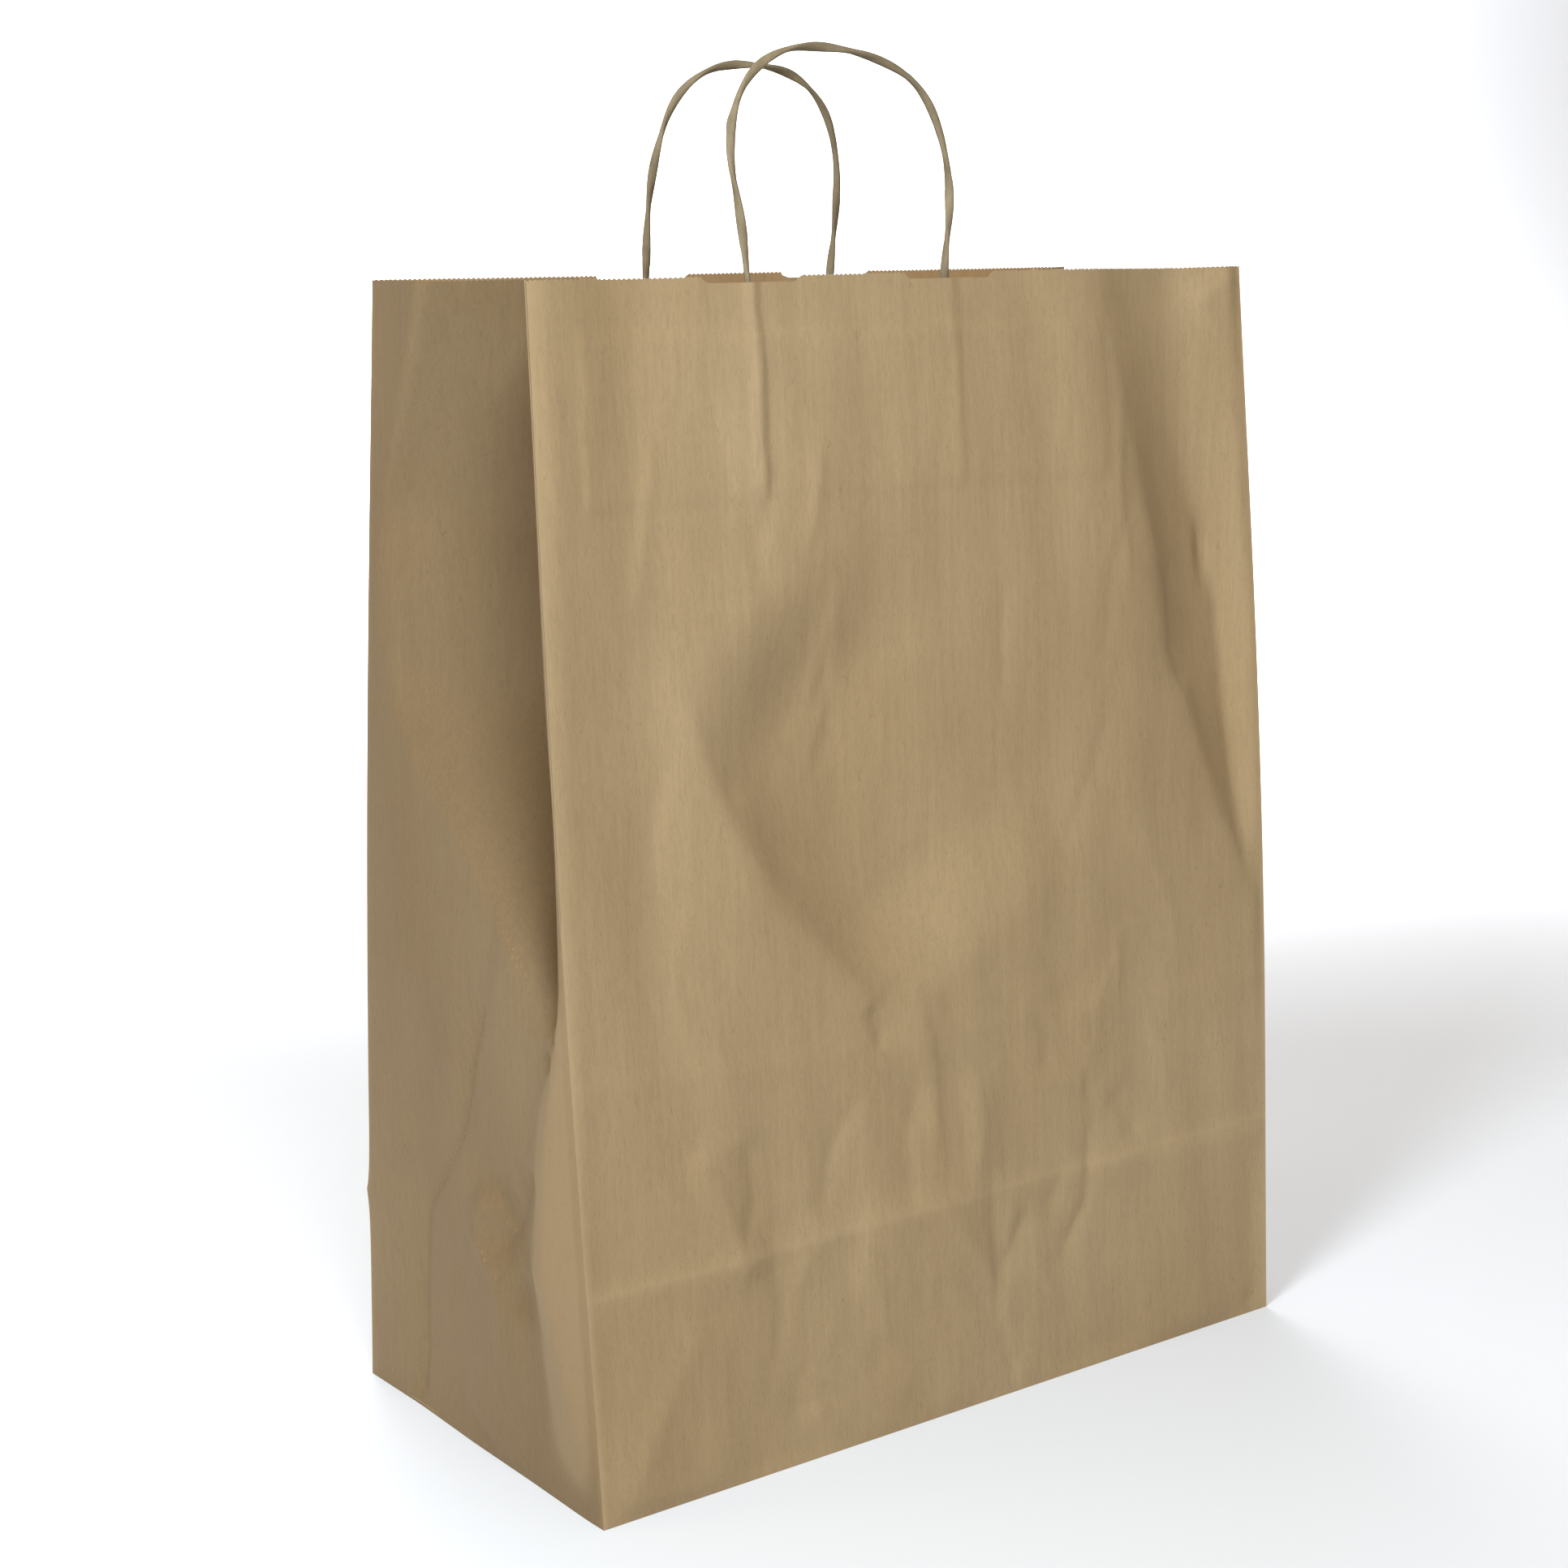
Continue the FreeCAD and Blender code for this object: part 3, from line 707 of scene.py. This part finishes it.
def gusset_relief(side, y, z, depth):
    """How far a gusset stands out beyond its folds, where it isn't pushed in."""
    flat = ease(1 - depth / 12)
    if side == "right":
        lift = ripple(y, z, 41, 5, 60, 0.4)
        lift += flat * crumple(y, z, 42, 10, (-45, 60, 45, 130), 22, 0.8, 60, 50)
        lift += flat * fold(y, z, [(-80, 84), (0, 86), (80, 84)], 0.7, 5, 9, 0.5, 0)
        return lift
    lift = 0.5 * ripple(y, z, 43, 5, 60, 1.0)
    # The thin crease that wanders up from the bottom, with a lit strip beside it.
    wander = [(46, 0), (44, 50), (39, 86), (20, 102), (2, 124), (-6, 151), (-19, 180)]
    lift += flat * fold(y, z, wander, -2.8, 2.2, 5, 0.4, 10)
    # The crushed tip of the bottom fold.
    lift += flat * swell(y, z, (-27, 92), (24, 11), -6.0, 62)
    lift += flat * fold(y, z, [(-50, 124), (-34, 100), (-14, 78)], -3.0, 8, 5, 0.8, 8)
    lift += flat * fold(y, z, [(-42, 78), (-27, 93), (-8, 108)], 3.6, 4, 7, 0.8, 8)
    lift += flat * fold(y, z, [(-14, 104), (-8, 88), (-22, 74)], 2.6, 4, 6, 0.8, 6)
    lift += flat * fold(y, z, [(-46, 82), (-30, 80), (-18, 66)], 2.0, 5, 4, 0.8, 6)
    lift += flat * crumple(y, z, 44, 5, (-42, 74, -12, 112), 18, 1.2, 120, 50)
    lift += flat * fold(y, z, [(-26, 74), (-18, 40), (-5, 6)], 3.0, 13, 16, 1.0, 12)
    lift += flat * fold(y, z, [(4, 80), (12, 40), (26, 4)], -2.0, 14, 16, 3, 16)
    lift += flat * fold(y, z, [(-84, 86), (-45, 88)], 0.7, 3, 6, 0.5, 6)
    # Faint level creases, and the small puckers at the edge by the front wall.
    lift += flat * fold(y, z, [(-10, 176), (40, 177), (76, 176)], 0.8, 5, 9, 0.8, 8)
    lift += flat * fold(y, z, [(45, 79), (80, 77)], 1.0, 4, 8, 0.6, 8)
    lift += flat * crumple(y, z, 45, 7, (-66, 164, -54, 180), 10, 2.0, 70, 40)
    lift += flat * crumple(y, z, 46, 6, (-20, 110, 70, 240), 50, 1.2, 95, 18)
    lift += flat * fold(y, z, [(68, 8), (73, 3)], -1.2, 2, 2, 0.4, 0)
    return lift


def gusset_grid(side, folds):
    """Points of a whole gusset's outer face: rows upwards, columns from front to back."""
    top = min(TOP.values())
    z = heights(top)
    levels = np.array([level for level, _ in folds], float)
    knots = np.array([pair for _, pairs in folds for pair in pairs], float)
    knots = knots.reshape(len(levels), -1, 2)
    middle_knots = np.stack(
        [
            np.stack([np.interp(z, levels, knots[:, k, c]) for c in range(2)], 1)
            for k in range(knots.shape[1])
        ],
        1,
    )
    middle_knots = smoothed(middle_knots, 3.0)
    sign = {"left": -1, "right": 1}[side]
    front_x, front_y = crease(side, "front", z)
    back_x, back_y = crease(side, "back", z)
    columns = 87
    column_step = 2.0  # about how wide a column is
    grid = np.zeros((len(z), columns, 3))
    for row, height in enumerate(z):
        base = front_x[row] * sign
        depth = np.concatenate([[0], middle_knots[row, :, 0], [base - back_x[row] * sign]])
        ys = np.concatenate([[front_y[row]], middle_knots[row, :, 1], [back_y[row]]])
        along = np.concatenate([[0], np.cumsum(np.hypot(np.diff(depth), np.diff(ys)))])
        at = np.linspace(0, along[-1], columns)
        depth, ys = np.interp(at, along, depth), np.interp(at, along, ys)
        keep = depth[0], depth[-1], ys[0], ys[-1]
        depth, ys = smoothed(depth, 1.5), smoothed(ys, 1.5)
        depth[0], depth[-1], ys[0], ys[-1] = keep
        grid[row] = np.stack([sign * (base - depth), ys, np.full(columns, height)], 1)
    in_depth = front_x[:, None] * sign - grid[:, :, 0] * sign
    lift = gusset_relief(side, grid[:, :, 1], grid[:, :, 2], in_depth)
    edge = np.minimum(np.arange(columns), columns - 1 - np.arange(columns))[None, :] * column_step
    edge = edge + np.zeros(in_depth.shape)
    lift = lift * ease(edge / 8) * ease(z / 6)[:, None]
    # The strip that stands out by the front wall is painted paler: a painted highlight where it faces
    # the light.
    strip = ease((-in_depth - 0.5) / 1.5) * ease((-48 - grid[:, :, 1]) / 8) * ease(grid[:, :, 2] / 12)
    wear_and_highlight = 0.3 * np.exp(-edge / 1.3) + (0.42 * strip if side == "left" else 0)
    outward = sheet_normals(grid if side == "right" else grid[:, ::-1])
    if side == "left":
        outward = outward[:, ::-1]
    grid = grid + outward * lift[:, :, None]
    grid[:, :, 2] = np.maximum(grid[:, :, 2], 0.05)
    return grid, wear_and_highlight


def gusset_sheets(side, folds, material):
    """A gusset's two halves, split down its middle."""
    grid, wear_and_highlight = gusset_grid(side, folds)
    centre = grid.shape[1] // 2
    halves = {"front": slice(0, centre + 1), "rear": slice(centre, None)}
    pieces = []
    for half, columns in halves.items():
        part, part_wear_and_highlight = grid[:, columns], wear_and_highlight[:, columns]
        if side == "left":
            part, part_wear_and_highlight = part[:, ::-1], part_wear_and_highlight[:, ::-1]
        piece = paper_sheet(
            f"{side}_gusset_{half}_sheet", part, material, True, wear_and_highlight=part_wear_and_highlight, inside=inner_paper_painted_glow
        )
        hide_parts(f"{side}_gusset_{half}")
        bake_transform(piece)
        pieces.append(piece)
    return pieces


# ---------------------------------------------------------------- bottom, seam and patches


# Room left beside the walls' feet, which turn a little on their creases as the walls tilt.
FLAP_ROOM = 0.5
TUCK_ROOM = 1.2


def bottom_flap(wall, material):
    """A long glued flap of the bottom, narrowing to its free edge."""
    low, high = (np.array(corner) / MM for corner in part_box(f"bottom_flap_{wall}"))
    outer, free = (low[1], high[1]) if wall == "front" else (high[1], low[1])
    outer -= OUTWARD[wall] * FLAP_ROOM
    rows, cols = 40, 120
    share = np.linspace(0, 1, rows)[:, None]
    half = high[0] - share * abs(free - outer)
    x = half * np.linspace(-1, 1, cols)
    y = outer + (free - outer) * share + np.zeros(x.shape)
    z = np.full(x.shape, low[2]) + 0.25 * np.abs(ripple(x, y, 51, 4, 70, 0.6)) * share
    grid = np.stack([x, y, z], 2)
    if wall == "front":
        grid = grid[:, ::-1]
    piece = paper_sheet(f"bottom_flap_{wall}_sheet", grid, material)
    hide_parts(f"bottom_flap_{wall}")
    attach(piece, "root")


def bottom_tuck(side, material):
    """A tucked end of the bottom, inside the flaps."""
    low, high = (np.array(corner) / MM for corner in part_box(f"bottom_tuck_{side}"))
    sign = {"left": -1, "right": 1}[side]
    outer, inner = (low[0], high[0]) if side == "left" else (high[0], low[0])
    reach = abs(inner - outer)
    share = np.linspace(0, 1, 30)[:, None]
    half = high[1] - TUCK_ROOM - np.clip(share - 0.5, 0, 1) * reach
    y = half * np.linspace(-1, 1, 70)
    x = outer - sign * share * reach + np.zeros(y.shape)
    z = np.full(x.shape, low[2]) + 0.5 + 0.6 * np.abs(ripple(y, x, 52, 4, 60, 0.7)) * share
    grid = np.stack([x, y, z], 2)
    if side == "right":
        grid = grid[:, ::-1]
    piece = paper_sheet(f"bottom_tuck_{side}_sheet", grid, material)
    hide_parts(f"bottom_tuck_{side}")
    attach(piece, "root")


def on_wall(wall, along, up, inward):
    """A point on a wall: x along it, a length up its slope, and a distance in from its face."""
    lean, out = LEAN[wall], OUTWARD[wall]
    x = along + np.zeros(np.shape(up))
    y = FOOT[wall] - out * (up * math.sin(lean) + inward * math.cos(lean))
    z = up * math.cos(lean) - inward * math.sin(lean)
    return np.stack([x, y, z + np.zeros(np.shape(x))], -1)


def inner_strip(name, wall, node, left, right, low, high, depth, material):
    """A flat strip glued inside a wall, lifted over each end of the cord by depth(x)."""
    wide = np.linspace(left, right, int((right - left) / 1.2) + 2)
    tall = np.linspace(low, high, max(3, int((high - low) / 4) + 2))
    x, up = np.meshgrid(wide, tall)
    grid = on_wall(wall, x, up, depth(x, up))
    if wall == "back":
        grid = grid[:, ::-1]
    piece = paper_sheet(name, grid, material)
    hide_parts(node)
    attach(piece, f"{wall}_wall")


def patch_strips(wall, material):
    """The two strips of a patch, with the cord's ends between them."""
    low, high = (np.array(corner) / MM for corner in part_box(f"{wall}_patch_cover"))
    lean = LEAN[wall]
    bottom, top = (low[2] + 1) / math.cos(lean), (high[2] - 0.3) / math.cos(lean)

    def follow(x, up):
        """The strips follow the wall's own waves."""
        return -stand_out(wall, x, up * math.cos(lean))

    def over_cord(x, up):
        depth = 2.2 * PAPER + follow(x, up)
        for leg in LEGS[wall]:
            over = np.exp(-(((x - leg) / 3.4) ** 2)) * ease((up - bottom) / 3.5)
            depth = depth + (CORD_INSET + CORD / 2 + PAPER - depth) * over
        return depth

    def flat(x, up):
        return 1.15 * PAPER + follow(x, up)

    inner_strip(
        f"{wall}_patch_cover_strip", wall, f"{wall}_patch_cover",
        low[0], high[0], bottom, top, over_cord, material,
    )
    inner_strip(
        f"{wall}_patch_backing_strip", wall, f"{wall}_patch_backing",
        low[0] + 1, high[0] - 1, bottom + 1, top - 0.4, flat, material,
    )


def seam_flap(material):
    """The glued flap inside the back wall."""
    low, high = (np.array(corner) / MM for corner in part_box("side_seam_flap"))

    def depth(x, up):
        return 1.2 * PAPER - stand_out("back", x, up)

    inner_strip(
        "side_seam_flap_sheet", "back", "side_seam_flap",
        low[0], high[0], 6, TOP["back"] - 2, depth, material,
    )


# ---------------------------------------------------------------- handles

# Route of each cord above the mouth, the same corners as the model's.
FRONT_ROUTE = [
    (-73.8, 0), (-75.4, 21), (-79.4, 43), (-73.5, 64), (-57, 77), (-35, 79),
    (-12, 75.5), (7, 67), (17, 48), (19.6, 25), (14.2, 0),
]
BACK_ROUTE = [
    (-49.3, 0), (-49.6, 22), (-46.8, 45), (-39, 66), (-24, 77), (-4, 79.5),
    (18, 76), (33, 64), (40, 45), (40.8, 23), (38.7, 0),
]
CORD = 3.4  # diameter
FLAT = (1.75, 1.05)  # half the widths of the flattened, twisted cord
TURN_LENGTH = 62  # of one whole twist
CORD_INSET = 2 * PAPER + CORD / 2  # from the wall's outer face to the cord's middle
LEG_STEP = 24  # between the points of a cord's end inside the patch
AROUND = 28  # points round the cord
ROLLED_EDGES = ((0.6, 0.22), (3.5, 0.14))  # each edge's angle round the cord, and its step's depth
FRONT_LAP = (124, 0.0)  # a lap of paper that stands off the front cord: how far along, and its angle


def cord_line(wall, route):
    """Points of the cord's smooth centreline, from the foot of one leg to the foot of the other."""
    slope_length = TOP[wall] / math.cos(LEAN[wall])
    first, last = route[0][0], route[-1][0]
    legs = [LEG_STEP * k for k in (3, 2, 1)]
    corners = [(first, -down) for down in legs] + route + [(last, -down) for down in legs[::-1]]
    curve = bpy.data.curves.new("cord_line", "CURVE")
    curve.dimensions = "3D"
    curve.resolution_u = 24
    spline = curve.splines.new("NURBS")
    spline.points.add(len(corners) - 1)
    for point, (x, up) in zip(spline.points, corners):
        place = on_wall(wall, x, np.array(slope_length + up), CORD_INSET)
        point.co = (*place, 1)
    spline.order_u = 3
    spline.use_endpoint_u = True
    holder = bpy.data.objects.new("cord_line", curve)
    mesh = bpy.data.meshes.new_from_object(holder)
    line = np.array([vertex.co for vertex in mesh.vertices], float)
    bpy.data.meshes.remove(mesh)
    bpy.data.objects.remove(holder)
    bpy.data.curves.remove(curve)
    steps = np.linalg.norm(np.diff(line, axis=0), axis=1)
    line = line[np.concatenate([[True], steps > 1e-6])]
    along = np.concatenate([[0], np.cumsum(np.linalg.norm(np.diff(line, axis=0), axis=1))])
    at = np.linspace(0, along[-1], int(along[-1] / 0.9))
    return np.stack([np.interp(at, along, line[:, k]) for k in range(3)], 1), at


def cord_radius(angles, along, turn, wide, thin, lap):
    """The radius round one ring of a cord: an oval, its rolled edges and a lap that stands off."""
    local = angles - turn
    radius = 1 / np.sqrt((np.cos(local) / wide) ** 2 + (np.sin(local) / thin) ** 2)
    for offset, depth in ROLLED_EDGES:
        phase = (angles - turn - 0.035 * along - offset) % (2 * math.pi)
        radius = radius - depth * np.exp(-phase / 0.55)
    if lap is not None:
        off = (angles - lap[1] + math.pi) % (2 * math.pi) - math.pi
        height = 1.1 * math.exp(-(((along - lap[0]) / 4.0) ** 2))
        radius = radius + height * np.exp(-((off / 0.5) ** 2))
    return radius


def tube_faces(rings):
    """The faces of a closed tube, ring after ring, with a cap at each end."""
    faces = []
    for k in range(rings - 1):
        low, high = k * AROUND, (k + 1) * AROUND
        for j in range(AROUND):
            n = (j + 1) % AROUND
            faces.append((low + j, low + n, high + n, high + j))
    faces.append(tuple(reversed(range(AROUND))))
    faces.append(tuple(range((rings - 1) * AROUND, rings * AROUND)))
    return faces


def cord_piece(wall, route, material, seed, lap=None):
    """A flattened cord of rolled paper, slowly twisted, with the edges of its turns showing."""
    line, at = cord_line(wall, route)
    chance = np.random.default_rng(seed)
    ahead = np.gradient(line, axis=0)
    ahead /= np.linalg.norm(ahead, axis=1, keepdims=True)
    inward = on_wall(wall, 0.0, np.array(0.0), 1.0) - on_wall(wall, 0.0, np.array(0.0), 0.0)
    side = np.cross(ahead, inward)
    side /= np.linalg.norm(side, axis=1, keepdims=True)
    up = np.cross(side, ahead)
    angles = np.linspace(0, 2 * math.pi, AROUND, endpoint=False)
    uneven = smoothed(chance.normal(0, 1, len(at)), 9)
    uneven /= np.abs(uneven).max()
    slow = smoothed(chance.normal(0, 1, len(at)), 22)
    slow /= np.abs(slow).max()
    rings = []
    for k, along in enumerate(at):
        turn = 2 * math.pi * along / TURN_LENGTH + 0.7 * slow[k] + seed
        wide, thin = FLAT[0] * (1 + 0.1 * uneven[k]), FLAT[1] * (1 - 0.16 * uneven[k])
        radius = cord_radius(angles, along, turn, wide, thin, lap)
        ring = line[k] + radius[:, None] * (
            np.cos(angles)[:, None] * side[k] + np.sin(angles)[:, None] * up[k]
        )
        rings.append(ring)
    points = np.concatenate(rings)
    piece = make_object(f"{wall}_handle_cord", points, tube_faces(len(at)), material, 35)
    nodes = [f"{wall}_handle_loop", f"{wall}_cord_end_left", f"{wall}_cord_end_right"]
    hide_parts(*nodes)
    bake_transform(piece)


# ---------------------------------------------------------------- the bag

make_camera()
make_light()
make_floor()

paper = kraft("kraft_paper", (0.32, 0.238, 0.137), (0.27, 0.19, 0.1))
# The inner face is painted brighter and more orange than the same paper outside: a painted glow of light
# shining through the sheets and bouncing inside the bag.
inner_paper_painted_glow = kraft("inner_paper_painted_glow", (0.43, 0.29, 0.155), (0.36, 0.235, 0.12))
strip_paper = kraft("patch_paper", (0.36, 0.265, 0.155), (0.3, 0.215, 0.12))
cord_paper = twisted_paper("twisted_cord")

wall_sheet("front", paper)
wall_sheet("back", paper)
left_gusset = gusset_sheets("left", LEFT_FOLDS, paper)
gusset_sheets("right", RIGHT_FOLDS, paper)
keep_dark("rake", left_gusset)
for flap_wall in ("front", "back"):
    bottom_flap(flap_wall, paper)
    patch_strips(flap_wall, strip_paper)
for tuck_side in ("left", "right"):
    bottom_tuck(tuck_side, paper)
seam_flap(paper)
cord_piece("front", FRONT_ROUTE, cord_paper, 1, FRONT_LAP)
cord_piece("back", BACK_ROUTE, cord_paper, 2)
